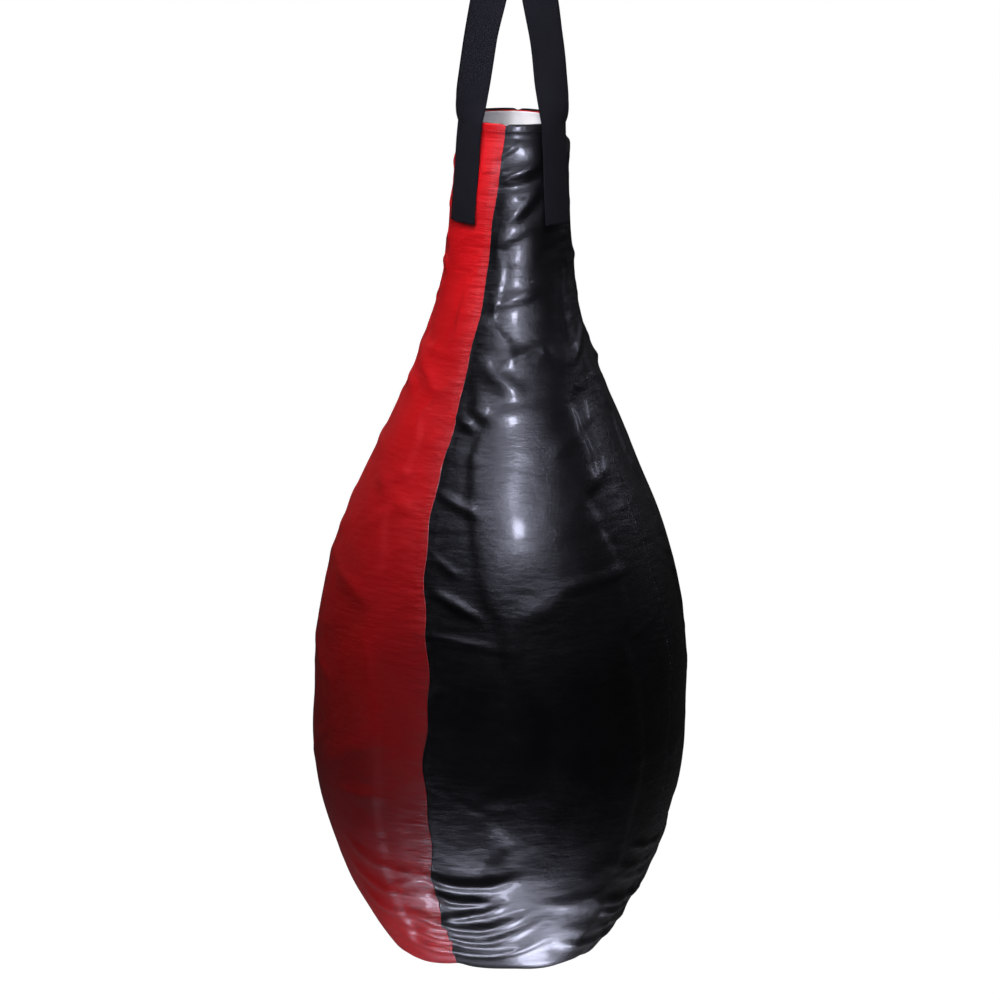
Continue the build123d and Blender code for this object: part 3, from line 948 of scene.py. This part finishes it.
# ---------------------------------------------------------------- stitching
class StitchKit:
    """Lays rows of stitches on a surface; one stitch is modelled once and repeated."""

    def __init__(self, length: float = 0.0032, thickness: float = 0.0008) -> None:
        """Models one stitch along X."""
        deselect()
        bpy.ops.mesh.primitive_cylinder_add(
            vertices=6, radius=thickness / 2, depth=length * 0.6, rotation=(0, math.pi / 2, 0)
        )
        stitch = bpy.context.object
        bpy.ops.object.mode_set(mode="EDIT")
        bpy.ops.mesh.select_mode(type="FACE")
        bpy.ops.mesh.select_all(action="DESELECT")
        bpy.ops.object.mode_set(mode="OBJECT")
        for face in stitch.data.polygons:
            face.select = len(face.vertices) == 6
        bpy.ops.object.mode_set(mode="EDIT")
        bpy.ops.mesh.inset(thickness=thickness * 0.2, depth=length * 0.2)
        bpy.ops.object.mode_set(mode="OBJECT")
        bpy.ops.object.transform_apply(location=True, rotation=True, scale=True)
        self.points = read_points(stitch)
        self.points[:, 2] -= 2.2 * np.abs(self.points[:, 0] / length) ** 2 * thickness
        self.faces = [tuple(face.vertices) for face in stitch.data.polygons]
        bpy.data.objects.remove(stitch)

    def row(
        self, name: str, path: np.ndarray, outward: np.ndarray, pitch: float, sink: float
    ) -> bpy.types.Object:
        """Makes one object of stitches along a path.

        Args:
            name: Name of the piece.
            path: Points along the row.
            outward: Surface normals at those points.
            pitch: Distance from one stitch to the next.
            sink: How far the thread lies inside the surface.

        Returns:
            The new object.
        """
        run = np.concatenate([[0], np.cumsum(np.linalg.norm(np.diff(path, axis=0), axis=1))])
        stops = np.arange(pitch / 2, run[-1] - pitch / 2, pitch)
        centre = np.stack([np.interp(stops, run, path[:, k]) for k in range(3)], 1)
        ahead = np.stack([np.interp(stops + pitch / 4, run, path[:, k]) for k in range(3)], 1)
        normal = np.stack([np.interp(stops, run, outward[:, k]) for k in range(3)], 1)
        along = ahead - centre
        along /= np.linalg.norm(along, axis=1)[:, None]
        normal -= (normal * along).sum(1)[:, None] * along
        normal /= np.linalg.norm(normal, axis=1)[:, None]
        side = np.cross(normal, along)
        points = (
            centre[:, None]
            - normal[:, None] * sink
            + self.points[None, :, :1] * along[:, None]
            + self.points[None, :, 1:2] * side[:, None]
            + self.points[None, :, 2:] * normal[:, None]
        )
        count = len(self.points)
        faces = [tuple(i * count + k for k in face) for i in range(len(stops)) for face in self.faces]
        mesh = bpy.data.meshes.new(name)
        mesh.from_pydata(points.reshape(-1, 3).tolist(), [], faces)
        piece = bpy.data.objects.new(name, mesh)
        bpy.context.collection.objects.link(piece)
        return piece


def surface_normals(surface: CoverSurface, panel: int, share: np.ndarray, s: np.ndarray) -> np.ndarray:
    """Outward normals of the cover at some places.

    Args:
        surface: The cover.
        panel: 0 front, 1 right, 2 back, 3 left.
        share: 0 at the panel's first seam, 1 at its second.
        s: Length down the outline.

    Returns:
        Unit vectors.
    """
    small = 0.002
    across = surface.place(panel, share + small, s) - surface.place(panel, share - small, s)
    down = surface.place(panel, share, s + small) - surface.place(panel, share, s - small)
    normal = np.cross(down, across)
    return normal / np.linalg.norm(normal, axis=1)[:, None]


# ---------------------------------------------------------------- the cover
@dataclass
class BagCover:
    """Four puffed panels with a turned hem, a bottom disc, and their stitching."""

    surface: CoverSurface
    finishes: Finishes
    stitches: StitchKit
    columns: int = 84
    row_pitch: float = 0.0040
    gather: float = 0.6
    hem_inside: float = 0.010
    hem_roll: float = 0.0020
    skin: float = 0.0012
    seam_row: float = 0.0042
    hem_row: float = 0.0072
    stitch_pitch: float = 0.0044
    stitch_sink: float = 0.0001
    fill: float = 0.9
    panels: tuple[str, ...] = ("panel_front", "panel_right", "panel_back", "panel_left")

    def rows(self) -> tuple[np.ndarray, np.ndarray]:
        """Length down and inset of each row, from inside the mouth over the rim to the bottom."""
        inside = np.linspace(self.hem_inside, 0.001, 5)
        roll = np.radians(np.linspace(0, 180, 7))
        outside = np.arange(0.0012, self.surface.outline.length, self.row_pitch)
        outside = np.append(outside, self.surface.outline.length)
        s = np.concatenate([inside, -self.hem_roll * np.sin(roll), outside])
        thick = 2 * self.hem_roll
        inset = np.concatenate([inside * 0 + thick, self.hem_roll * (1 + np.cos(roll)), outside * 0])
        return s, inset

    def build_panel(self, number: int) -> None:
        """Builds one panel of the cover.

        Args:
            number: 0 front, 1 right, 2 back, 3 left.
        """
        s_rows, inset_rows = self.rows()
        name = self.panels[number]
        piece, across, down = grid_piece(f"cover_{name}", self.columns, len(s_rows) - 1)
        row = np.rint(down * (len(s_rows) - 1)).astype(int)
        share = across - self.gather * np.sin(math.tau * across) / math.tau
        s = s_rows[row]
        write_points(piece, self.surface.place(number, share, s, inset_rows[row]))
        radius, _ = self.surface.outline.at(s)
        edge = np.minimum(share, 1 - share) * PANEL_ANGLE * radius
        write_uv(piece, share * PANEL_ANGLE * radius, s)
        write_attribute(piece, "seam", np.exp(-((edge / 0.012) ** 2)) * 0.7 + np.exp(-edge / 0.05) * 0.3)
        apply_modifier(piece, "SOLIDIFY", thickness=self.skin, offset=-1.0)
        black = number != RED_PANEL
        finish_piece(
            piece,
            self.finishes.black if black else self.finishes.red,
            Body.BAG,
            Slot.BLACK if black else Slot.RED,
            name,
        )

    def build_bottom(self) -> None:
        """Builds the bottom disc, which sags a little and puckers at its edge."""
        outline = self.surface.outline
        edge, height = (float(v) for v in outline.at(np.array(outline.length)))
        piece, across, down = grid_piece("cover_bottom_disc", 96, 22)
        turn = across * math.tau
        radius = (edge + 0.0006) * (POLE_HOLE + (1 - POLE_HOLE) * (1 - down))
        ripple = 0.0007 * np.sin(turn * 26) * np.exp(-(((edge - radius) / 0.018) ** 2))
        sag = 0.0045 * (1 - (radius / edge) ** 2) + 0.0010 * np.sin(turn * 3 + radius * 60)
        z = height - sag * (1 - (radius / edge) ** 4) - ripple * (1 - (radius / edge) ** 8) + 0.0004
        write_points(piece, np.stack([radius * np.sin(turn), radius * np.cos(turn), z], 1))
        close_disc(piece, 0.0001, edge, up=-1)
        points = read_points(piece)
        near = edge - np.hypot(points[:, 0], points[:, 1])
        write_attribute(piece, "seam", np.exp(-((near / 0.010) ** 2)))
        apply_modifier(piece, "SOLIDIFY", thickness=self.skin, offset=-1.0)
        finish_piece(piece, self.finishes.black, Body.BAG, Slot.BLACK, "bottom_panel")

    def build_seam_stitching(self, number: int) -> None:
        """Sews the row of stitches beside one upright seam, on the panel before the seam.

        Args:
            number: The seam, counted from the front one.
        """
        panel = (number - 1) % PANEL_COUNT
        s = np.arange(0.014, self.surface.outline.length - 0.006, 0.002)
        radius, _ = self.surface.outline.at(s)
        share = 1 - self.seam_row / (PANEL_ANGLE * radius)
        path = self.surface.place(panel, share, s)
        outward = surface_normals(self.surface, panel, share, s)
        label = f"seam_stitching_{number + 1}"
        piece = self.stitches.row(label, path, outward, self.stitch_pitch, self.stitch_sink)
        red = panel == RED_PANEL
        thread = self.finishes.red_thread if red else self.finishes.black_thread
        finish_piece(piece, thread, Body.BAG, Slot.RED if red else Slot.BLACK)

    def build_hem_stitching(self) -> None:
        """Sews the row of stitches that holds the turned hem, panel by panel."""
        for number, name in enumerate(self.panels):
            share = np.linspace(0.02, 0.98, 120)
            s = np.full_like(share, self.hem_row)
            path = self.surface.place(number, share, s)
            outward = surface_normals(self.surface, number, share, s)
            label = "hem_stitching_" + name.removeprefix("panel_")
            piece = self.stitches.row(label, path, outward, self.stitch_pitch, self.stitch_sink)
            red = number == RED_PANEL
            thread = self.finishes.red_thread if red else self.finishes.black_thread
            finish_piece(piece, thread, Body.BAG, Slot.RED if red else Slot.BLACK)

    def build(self) -> None:
        """Builds every piece of the cover."""
        for number in range(PANEL_COUNT):
            self.build_panel(number)
            self.build_seam_stitching(number)
        self.build_hem_stitching()
        self.build_bottom()


# ---------------------------------------------------------------- inside the mouth
@dataclass
class MouthLining:
    """White lining of the neck and the flap that closes it over the filling."""

    outline: BagOutline
    finishes: Finishes
    stitches: StitchKit
    inset: float = 0.0050
    depth: float = 0.118
    top: float = 0.0010
    merge: float = 0.00005
    cloth: float = 0.0007
    flap_cloth: float = 0.0009
    flap_inset: float = 0.0012
    flap_row: float = 0.0070
    flap_pitch: float = 0.0046
    cut_inset: float = 0.0015

    def build_lining(self) -> None:
        """Builds the tube of lining cloth, with soft upright gathers."""
        piece, across, down = grid_piece("neck_lining_cloth", 220, 60)
        turn = across * math.tau
        s = self.top + (self.depth - self.top) * down
        loose = smooth_step((s - 0.004) / 0.02)
        folds = 0.0014 * np.sin(turn * 17 + 9 * s) + 0.0007 * np.sin(turn * 29 - 30 * s + 1)
        cross = 0.0008 * np.sin(s * 260 + 2 * np.sin(turn * 3)) * np.sin(turn * 2 + 0.6)
        inset = self.inset + loose * (0.0016 + folds + cross)
        radius, height = self.outline.at(s, inset)
        write_points(piece, np.stack([radius * np.sin(turn), -radius * np.cos(turn), height], 1))
        write_uv(piece, across * math.tau * self.outline.neck_radius, s)
        merge_doubles(piece, self.merge, flip=True)
        apply_modifier(piece, "SOLIDIFY", thickness=self.cloth, offset=-1.0)
        finish_piece(piece, self.finishes.lining, Body.BAG, Slot.LINING, "neck_lining")

    def build_flap(self) -> None:
        """Builds the round flap, hollowed and creased, with a stitched edge."""
        _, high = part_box("closing_flap")
        edge = high.x - self.flap_inset
        piece, across, down = grid_piece("closing_flap_cloth", 120, 30)
        turn = across * math.tau
        radius = edge * (POLE_HOLE + (1 - POLE_HOLE) * (1 - down))
        full = radius / edge
        sag = -0.0035 * (1 - full**2) + 0.0012 * np.sin(turn * 5 + full * 7) * full * (1 - full)
        pleat = 0.0006 * np.sin(turn * 31) * smooth_step((full - 0.8) / 0.2) * (1 - full**12)
        z = high.z + sag + pleat
        write_points(piece, np.stack([radius * np.sin(turn), -radius * np.cos(turn), z], 1))
        write_uv(piece, radius * np.sin(turn), radius * np.cos(turn))
        close_disc(piece, self.merge, edge, up=1)
        apply_modifier(piece, "SOLIDIFY", thickness=self.flap_cloth, offset=-1.0)
        finish_piece(piece, self.finishes.lining, Body.BAG, Slot.LINING, "closing_flap")
        turn = np.linspace(0, math.tau, 200)
        ring = edge - self.flap_row
        path = np.stack([ring * np.sin(turn), ring * np.cos(turn), turn * 0 + high.z + 0.0004], 1)
        up = np.tile([0.0, 0.0, 1.0], (len(turn), 1))
        piece = self.stitches.row("flap_stitching", path, up, self.flap_pitch, 0.0)
        finish_piece(piece, self.finishes.white_thread, Body.BAG, Slot.LINING)

    def build(self) -> None:
        """Builds the lining and the flap."""
        self.build_lining()
        self.build_flap()


# ---------------------------------------------------------------- webbing straps
@dataclass
class WebbingStraps:
    """Two webbing straps that cross on the D-ring's bar and are sewn down the neck."""

    surface: CoverSurface
    finishes: Finishes
    width: float = 0.044
    thickness: float = 0.0022
    azimuth: float = 50.0
    free_twist: float = 24.0
    sewn: float = 0.124
    seat: float = 0.0009
    wire: float = 0.0043
    lift: float = 0.00258
    sewn_rows: int = 40
    free_rows: int = 90
    stitch_pitch: float = 0.0046
    stitch_sink: float = 0.0001
    box_top: float = 0.006
    box_bottom: float = 0.105
    box_height: float = 0.044
    box_edge: float = 0.84

    def __post_init__(self) -> None:
        """Reads the bar's and rim's heights from the frame."""
        low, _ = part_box("d_ring")
        self.bar_z = low.z + 0.004
        self.rim_z = self.surface.outline.rim_z
        self.drop = self.bar_z - self.rim_z
        self.stitches = StitchKit(length=0.0036, thickness=0.0009)

    def leg(self, side: int, lift: float, fall: np.ndarray, below: np.ndarray) -> tuple:
        """Centre, outward and sideways directions and curvature down one front leg.

        Args:
            side: -1 for the leg to the left, 1 for the right.
            lift: How much further out this strap lies on the bar.
            fall: 0 at the bar, 1 at the rim.
            below: Distance below the rim.

        Returns:
            Arrays of centres, outward directions, sideways directions and curvature.
        """
        spread = 1 - (1 - fall) ** 1.5
        twist = self.free_twist * smooth_step((fall - 0.36) / 0.3)
        twist = np.radians(twist + (self.azimuth - self.free_twist) * fall**14)
        slope = math.tan(math.radians(self.surface.outline.neck_heading))
        proud = 0.0030 * smooth_step((fall - 0.80) / 0.20)
        seat = self.surface.outline.neck_radius + below * slope + self.seat + proud
        mount = math.radians(self.azimuth)
        x = side * spread * seat * math.sin(mount)
        y = -(spread * (seat * math.cos(mount) - self.wire) + self.wire)
        y = y - lift * (1 - smooth_step((fall - 0.42) / 0.4))
        z = self.bar_z - fall * self.drop - below
        out = np.stack([side * np.sin(twist), -np.cos(twist), twist * 0], 1)
        along = np.stack([np.cos(twist), side * np.sin(twist), twist * 0], 1)
        bend = np.maximum(fall, 0.001) ** 8 / seat
        return np.stack([x, y, z], 1), out, along, bend

    def path(self, side: int, lift: float) -> tuple:
        """Centres, directions and curvature along a whole strap, end to end.

        Args:
            side: -1 for the leg to the left, 1 for the right.
            lift: How much further out this strap lies on the bar.

        Returns:
            Arrays of centres, outward directions, sideways directions and curvature.
        """
        below = np.linspace(self.sewn, 0, self.sewn_rows)[:-1]
        fall = 1 - np.linspace(0, 1, self.free_rows)[:-1]
        down = self.leg(side, lift, np.append(below * 0 + 1, fall), np.append(below, fall * 0))
        half = np.radians(np.linspace(0, 180, 15))
        reach = self.wire + lift
        zero = half * 0
        loop = np.stack([zero, -reach * np.cos(half), self.bar_z + reach * np.sin(half)], 1)
        loop_out = np.stack([zero, -np.cos(half), np.sin(half)], 1)
        loop_along = np.stack([zero + 1, zero, zero], 1)
        turn = np.array([-1.0, -1.0, 1.0])
        back = [down[0] * turn, down[1] * turn, -down[2] * turn, down[3]]
        centre = np.concatenate([down[0], loop, back[0][::-1]])
        out = np.concatenate([down[1], loop_out, back[1][::-1]])
        along = np.concatenate([down[2], loop_along, back[2][::-1]])
        bend = np.concatenate([down[3], zero + 1e-6, back[3][::-1]])
        return centre, out, along, bend

    def shape(self, path: tuple, share: np.ndarray, row: np.ndarray, height: float) -> np.ndarray:
        """Points on the webbing at shares across and rows along, a height over its inner face.

        Args:
            path: What path gives.
            share: -1 at one edge, 1 at the other.
            row: Place along the path.
            height: Distance over the inner face.

        Returns:
            Points, in metres.
        """
        centre, out, along, bend = (part[row] for part in path)
        reach = share * self.width / 2
        bend = np.maximum(bend, 1e-6)
        drop = (1 - np.sqrt(1 - (bend * reach) ** 2)) / bend
        return centre + along * reach[:, None] + out * (height - drop)[:, None]

    def build_strap(self, name: str, node: str, side: int, lift: float) -> None:
        """Builds one strap with its rounded edges and woven UV map.

        Args:
            name: Name of the piece.
            node: The CAD node that it replaces.
            side: -1 where its front leg is on the left, 1 on the right.
            lift: How much further out it lies on the bar.
        """
        path = self.path(side, lift)
        count = len(path[0])
        piece, across, down = grid_piece(name, 14, count - 1)
        row = np.rint(down * (count - 1)).astype(int)
        share = across * 2 - 1
        run = np.concatenate([[0], np.cumsum(np.linalg.norm(np.diff(path[0], axis=0), axis=1))])
        worn = 0.0004 * np.sin(run * 90 + side)[row] * share**2
        height = self.thickness + worn
        write_points(piece, self.shape(path, share, row, height))
        write_uv(piece, share * self.width / 2, run[row])
        if piece.data.polygons[0].normal.dot(Vector(path[1][0])) < 0:
            piece.data.flip_normals()
        apply_modifier(piece, "SOLIDIFY", thickness=self.thickness * 0.92, offset=-1.0)
        apply_modifier(piece, "BEVEL", width=0.0006, segments=2, angle_limit=math.radians(50))
        finish_piece(piece, self.finishes.webbing, Body.BAG, Slot.WEBBING, node)
        self.sew(name, path, count)

    def sew(self, name: str, path: tuple, count: int) -> None:
        """Sews both ends of a strap to the neck with a boxed cross and a long border.

        Args:
            name: The strap's name.
            path: What path gives.
            count: Rows along the path.
        """
        low, high, inner, edge = self.box_top, self.box_bottom, self.box_height, self.box_edge
        corners = [
            [(-edge, low), (edge, low), (edge, high), (-edge, high), (-edge, low)],
            [(-edge, low), (edge, inner)],
            [(edge, low), (-edge, inner)],
            [(-edge, inner), (edge, inner)],
            [(-edge, high - inner), (edge, high - inner)],
            [(-edge, high), (edge, high - inner)],
            [(edge, high), (-edge, high - inner)],
        ]
        step = self.sewn / (self.sewn_rows - 1)
        for end in (0, 1):
            for number, line in enumerate(corners):
                places = []
                for (a, b), (c, d) in zip(line[:-1], line[1:]):
                    steps = max(2, int(math.hypot((c - a) * self.width / 2, d - b) / 0.002))
                    share = np.linspace(0, 1, steps)
                    places.append(np.stack([a + (c - a) * share, b + (d - b) * share], 1))
                spots = np.concatenate(places)
                rows = spots[:, 1] / step
                first = np.floor(rows).astype(int)
                blend = (rows - first)[:, None]
                if end:
                    first = count - 1 - first
                    second = first - 1
                else:
                    second = first + 1
                lower = self.shape(path, spots[:, 0], first, self.thickness)
                upper = self.shape(path, spots[:, 0], second, self.thickness)
                line_path = lower * (1 - blend) + upper * blend
                label = f"{name}_stitching_{'back' if end else 'front'}_{number + 1}"
                outward = path[1][first]
                piece = self.stitches.row(label, line_path, outward, self.stitch_pitch, self.stitch_sink)
                finish_piece(piece, self.finishes.black_thread, Body.BAG, Slot.WEBBING)

    def build(self) -> None:
        """Builds both straps."""
        self.build_strap("webbing_strap_inner", "strap_inner", -1, 0.0)
        self.build_strap("webbing_strap_outer", "strap_outer", 1, self.lift)


# ---------------------------------------------------------------- hardware and hidden layers
@dataclass
class Hardware:
    """Finishes for the swivel, its bearing, the bolt, the ring and the hidden layers."""

    finishes: Finishes

    def dress(self) -> None:
        """Gives each carried-over CAD node its finish."""
        special = {
            "dust_seal": self.finishes.rubber,
            "bearing_cage": self.finishes.brass,
            "foam_layer": self.finishes.foam,
            "filling": self.finishes.scraps,
            "strap_patches": self.finishes.red,
            "rim_facing": self.finishes.red,
        }
        cloth = {"inner_bag", "bottom_reinforcement", "seam_tapes", "bottom_seam_tape"}
        for name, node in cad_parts.items():
            material = special.get(name, self.finishes.lining if name in cloth else self.finishes.zinc)
            node.data.materials.clear()
            node.data.materials.append(material)
            LOG.info("%s: dressed in %s", name, material.name)


# ---------------------------------------------------------------- studio
WARM = (1.0, 0.97, 0.97)
COOL = (0.76, 0.78, 1.0)


class LampUse(Enum):
    """What a lamp lights: everything, shine alone, or soft light alone."""

    ALL = 1
    SHINE = 2
    SOFT = 3


@dataclass(frozen=True)
class StudioLamp:
    """One soft lamp: where it stands, the height it points at, its size, power and use."""

    name: str
    place: tuple[float, float, float]
    aim_z: float
    size: tuple[float, float]
    power: float
    tint: tuple[float, float, float] = (1.0, 1.0, 1.0)
    spread: float = 180.0
    use: LampUse = LampUse.ALL


@dataclass
class Studio:
    """Pale floor, soft lights and the camera."""

    target: Vector = field(default_factory=lambda: Vector((-0.005, 0.0, -0.879)))
    distance: float = 12.0
    elevation: float = 11.5
    roll: float = 1.18
    view_width: float = 1.25
    sensor: float = 36.0
    floor_z: float = -2.3
    air: float = 0.06
    paper_white: float = 1.0
    lamps: tuple[StudioLamp, ...] = (
        StudioLamp("key_lamp", (-0.15, -0.8, 0.75), -0.42, (0.25, 0.25), 2.0, WARM, 50, LampUse.SOFT),
        StudioLamp("left_lamp", (-0.8, -0.6, 0.25), -0.5, (0.2, 0.3), 0.9, WARM, 62, LampUse.SOFT),
        StudioLamp("fill_lamp", (-0.8, -2.2, 0.6), -0.7, (0.6, 0.6), 2.2, WARM, 180, LampUse.SOFT),
        StudioLamp("foot_lamp", (-0.5, -0.8, -1.9), -1.44, (0.2, 0.2), 0.2, WARM, 30, LampUse.SOFT),
        StudioLamp("streak_lamp", (0.13, -0.75, -0.475), -0.5, (0.1, 0.09), 5, COOL, 180, LampUse.SHINE),
        StudioLamp("crease_lamp", (-0.5, -1.1, 0.6), -0.9, (0.1, 0.4), 13, COOL, 180, LampUse.SHINE),
        StudioLamp("slope_lamp", (0.1, -2.6, 1.3), -0.7, (0.3, 0.12), 0.5, COOL, 180, LampUse.SHINE),
        StudioLamp("low_lamp", (-0.15, -0.4, -2.15), -1.4, (0.9, 0.07), 15, COOL, 180, LampUse.SHINE),
        StudioLamp("under_lamp", (0.3, 0.0, -2.1), -1.4, (0.2, 0.2), 5, COOL, 180, LampUse.SHINE),
        StudioLamp("right_lamp", (1.5, 0.4, 0.1), -0.5, (0.1, 0.7), 3, COOL),
        StudioLamp("back_lamp", (-0.4, 2.3, 0.6), -0.7, (1.2, 1.2), 22),
    )

    def camera(self) -> None:
        """Places the camera in front of the bag, looking slightly down."""
        tilt = math.radians(self.elevation)
        offset = Vector((0, -math.cos(tilt), math.sin(tilt))) * self.distance
        bpy.ops.object.camera_add(location=self.target + offset)
        camera = bpy.context.object
        turn = (-offset).to_track_quat("-Z", "Y").to_matrix().to_4x4()
        roll = Matrix.Rotation(math.radians(self.roll), 4, "Z")
        camera.matrix_world = Matrix.Translation(self.target + offset) @ turn @ roll
        camera.data.sensor_width = self.sensor
        camera.data.lens = self.sensor * self.distance / self.view_width
        camera.data.clip_end = 100
        bpy.context.scene.camera = camera

    def lamp(self, lamp: StudioLamp) -> None:
        """Adds a soft rectangular lamp that the camera doesn't see.

        Args:
            lamp: The lamp to add.
        """
        bpy.ops.object.light_add(type="AREA", location=lamp.place)
        piece = bpy.context.object
        piece.name = lamp.name
        aim = Vector((0, 0, lamp.aim_z)) - Vector(lamp.place)
        piece.rotation_euler = aim.to_track_quat("-Z", "Y").to_euler()
        piece.data.shape = "RECTANGLE"
        piece.data.size, piece.data.size_y = lamp.size
        piece.data.energy = lamp.power
        piece.data.color = lamp.tint
        piece.data.spread = math.radians(lamp.spread)
        piece.visible_camera = False
        piece.visible_diffuse = lamp.use is not LampUse.SHINE
        piece.visible_glossy = lamp.use is not LampUse.SOFT

    def floor(self) -> None:
        """Adds the pale floor, lit to paper white where the camera sees it."""
        bpy.ops.mesh.primitive_plane_add(size=80, location=(0, 0, self.floor_z))
        floor = bpy.context.object
        floor.name = "studio_floor"
        kit = NodeKit("pale_floor")
        soft = kit.noise(kit.place(), 0.4, 2.0)
        kit.put(kit.shader.inputs["Base Color"], kit.mix(soft, grey(0.2), grey(0.22)))
        kit.shader.inputs["Roughness"].default_value = 0.9
        kit.put(kit.shader.inputs["Emission Color"], kit.mix(soft, grey(0.98), grey(1.0)))
        seen = kit.add("LightPath").outputs["Is Camera Ray"]
        kit.put(kit.shader.inputs["Emission Strength"], kit.math("MULTIPLY", seen, self.paper_white))
        floor.data.materials.append(kit.material)

    def world(self) -> None:
        """Sets the air: white to the camera, and dim and even as a light."""
        world = bpy.data.worlds.new("studio_air")
        bpy.context.scene.world = world
        world.use_nodes = True
        tree = world.node_tree
        background = tree.nodes["Background"]
        background.inputs["Color"].default_value = (0.97, 0.97, 1.0, 1.0)
        seen = tree.nodes.new("ShaderNodeLightPath").outputs["Is Camera Ray"]
        span = tree.nodes.new("ShaderNodeMapRange")
        span.inputs["To Min"].default_value = self.air
        span.inputs["To Max"].default_value = self.paper_white
        tree.links.new(seen, span.inputs["Value"])
        tree.links.new(span.outputs["Result"], background.inputs["Strength"])

    def build(self) -> None:
        """Builds the studio."""
        deselect()
        bpy.context.scene.view_settings.view_transform = "Standard"
        self.camera()
        for lamp in self.lamps:
            self.lamp(lamp)
        self.floor()
        self.world()


def main() -> None:
    """Builds the bag in order, from the studio to the hardware."""
    logging.basicConfig(level=logging.INFO, format="%(name)s: %(message)s")
    Studio().build()
    finishes = Finishes()
    outline = BagOutline()
    surface = CoverSurface(outline)
    CoverCloth(surface).run()
    thread = StitchKit()
    BagCover(surface, finishes, thread).build()
    MouthLining(outline, finishes, thread).build()
    WebbingStraps(surface, finishes).build()
    Hardware(finishes).dress()


if __name__ == "__main__":
    main()
